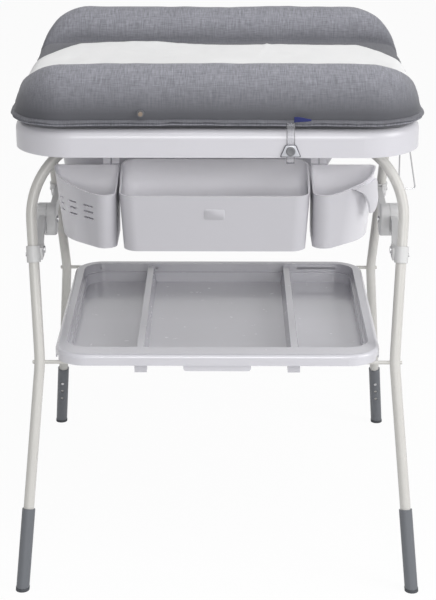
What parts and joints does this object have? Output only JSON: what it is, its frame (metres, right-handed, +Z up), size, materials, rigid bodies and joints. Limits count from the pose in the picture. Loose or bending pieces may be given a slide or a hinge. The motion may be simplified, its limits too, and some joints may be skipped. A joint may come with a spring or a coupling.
{
  "type": "changing table with bath tub",
  "caption": "Folding baby changing table: leaning tube frames, bath tub under a padded mat with a towel, hung containers and a lower tray, with knee folding and height sleeves.",
  "frame": {"origin": "on the floor under the middle of the stand", "axes": "+X to the right seen from the front, +Y to the rear, +Z up"},
  "size_m": [0.7848, 0.8572, 1.0166],
  "materials": {
    "frame_paint": "satin powder coat",
    "steel": "plain",
    "joint_plastic": "matt moulded",
    "sleeve_plastic": "matt moulded",
    "foot_rubber": "matt",
    "tub_plastic": "satin moulded",
    "box_plastic": "fine grained",
    "tray_plastic": "gloss moulded",
    "drain_plastic": "matt",
    "wire": "bright wire",
    "mat_cover": "coated melange weave",
    "mat_edge": "welded edge",
    "towel_cloth": "soft cotton",
    "valve_plastic": "clear grey",
    "tag_cloth": "woven",
    "clear_strap": "clear film",
    "strap_tab": "clear film with a dark edge",
    "snap_plastic": "matt"
  },
  "bodies": {
    "front_frame": {"front_leg_tube": "frame_paint", "front_tray_rod": "steel", "front_collar_left": "joint_plastic", "front_collar_right": "joint_plastic", "front_pivot_pins": "steel", "front_collar_rivets": "steel", "snap_clip_front_left": "steel", "snap_clip_front_right": "steel"},
    "front_arms": {"front_arm_left": "joint_plastic", "front_arm_right": "joint_plastic", "hub_pins": "steel"},
    "hub_button_left": {"hub_button_left": "joint_plastic"},
    "hub_button_right": {"hub_button_right": "joint_plastic"},
    "rear_arms": {"rear_arm_left": "joint_plastic", "rear_arm_right": "joint_plastic"},
    "rear_frame": {"rear_leg_tube": "frame_paint", "rear_tray_rod": "steel", "rear_collar_left": "joint_plastic", "rear_collar_right": "joint_plastic", "rear_pivot_pins": "steel", "rear_collar_rivets": "steel", "snap_clip_rear_left": "steel", "snap_clip_rear_right": "steel"},
    "foot_front_left": {"foot_sleeve_front_left": "sleeve_plastic", "foot_pad_front_left": "foot_rubber"},
    "foot_front_right": {"foot_sleeve_front_right": "sleeve_plastic", "foot_pad_front_right": "foot_rubber"},
    "foot_rear_left": {"foot_sleeve_rear_left": "sleeve_plastic", "foot_pad_rear_left": "foot_rubber"},
    "foot_rear_right": {"foot_sleeve_rear_right": "sleeve_plastic", "foot_pad_rear_right": "foot_rubber"},
    "tub": {"tub": "tub_plastic", "drain_outlet": "drain_plastic", "hook_bracket": "tub_plastic"},
    "drain_plug": {"drain_plug": "drain_plastic"},
    "wire_hook": {"wire_hook": "wire"},
    "mat": {"mat_cushion": "mat_cover", "mat_seam": "mat_edge", "towel": "towel_cloth", "inflation_valve": "valve_plastic", "valve_cap": "valve_plastic", "side_tag": "tag_cloth", "mat_strap": "clear_strap", "strap_tab": "strap_tab", "strap_snap": "snap_plastic"},
    "centre_box": {"centre_box": "box_plastic"},
    "left_basket": {"left_basket": "box_plastic"},
    "right_jug": {"right_jug": "box_plastic"},
    "tray": {"tray": "tray_plastic", "tray_clip_left": "tray_plastic", "tray_clip_right": "tray_plastic", "tray_lip": "tray_plastic"}
  },
  "joints": [
    {"name": "fold", "type": "hinge", "parent": "front_frame", "child": "front_arms", "pos_m": [0, -0.208, 0.63], "axis": [-1, 0, 0], "range_deg": [0, 46]},
    {"name": "knee", "type": "hinge", "parent": "front_arms", "child": "rear_arms", "pos_m": [0, 0, 0.63], "axis": [1, 0, 0], "range_deg": [0, 79]},
    {"name": "rear_pivot", "type": "hinge", "parent": "rear_arms", "child": "rear_frame", "pos_m": [0, 0.208, 0.63], "axis": [-1, 0, 0], "range_deg": [0, 64]},
    {"name": "release_left", "type": "slide", "parent": "front_arms", "child": "hub_button_left", "axis": [1, 0, 0], "range_m": [0, 0.004], "stiffness_N_per_m": 600},
    {"name": "release_right", "type": "slide", "parent": "front_arms", "child": "hub_button_right", "axis": [-1, 0, 0], "range_m": [0, 0.004], "stiffness_N_per_m": 600},
    {"name": "height_front_left", "type": "slide", "parent": "front_frame", "child": "foot_front_left", "axis": [0.0805, 0.2692, 0.9597], "range_m": [0, 0.044], "deforming": ["snap_clip_front_left"]},
    {"name": "height_front_right", "type": "slide", "parent": "front_frame", "child": "foot_front_right", "axis": [-0.0805, 0.2692, 0.9597], "range_m": [0, 0.044], "deforming": ["snap_clip_front_right"]},
    {"name": "height_rear_left", "type": "slide", "parent": "rear_frame", "child": "foot_rear_left", "axis": [0.0805, -0.2692, 0.9597], "range_m": [0, 0.044], "deforming": ["snap_clip_rear_left"]},
    {"name": "height_rear_right", "type": "slide", "parent": "rear_frame", "child": "foot_rear_right", "axis": [-0.0805, -0.2692, 0.9597], "range_m": [0, 0.044], "deforming": ["snap_clip_rear_right"]},
    {"name": "tub_lift", "type": "slide", "parent": "front_frame", "child": "tub", "axis": [0, 0, 1], "range_m": [0, 0.12]},
    {"name": "mat_lift", "type": "slide", "parent": "tub", "child": "mat", "axis": [0, 0, 1], "range_m": [0, 0.08]},
    {"name": "plug_lift", "type": "slide", "parent": "tub", "child": "drain_plug", "axis": [0, 0, 1], "range_m": [0, 0.03]},
    {"name": "hook_swing", "type": "hinge", "parent": "tub", "child": "wire_hook", "pos_m": [0.3625, -0.1, 0.866], "axis": [1, 0, 0], "range_deg": [-30, 40]},
    {"name": "tray_lift", "type": "slide", "parent": "front_frame", "child": "tray", "axis": [0, 0, 1], "range_m": [0, 0.1]},
    {"name": "box_off", "type": "slide", "parent": "front_frame", "child": "centre_box", "axis": [0, -1, 0], "range_m": [0, 0.12]},
    {"name": "basket_off", "type": "slide", "parent": "front_frame", "child": "left_basket", "axis": [0, -1, 0], "range_m": [0, 0.12]},
    {"name": "jug_off", "type": "slide", "parent": "front_frame", "child": "right_jug", "axis": [0, -1, 0], "range_m": [0, 0.12]}
  ],
  "couplings": [
    {"joint": "knee", "follows": "fold", "ratio": 1.7},
    {"joint": "rear_pivot", "follows": "fold", "ratio": 1.3813}
  ]
}
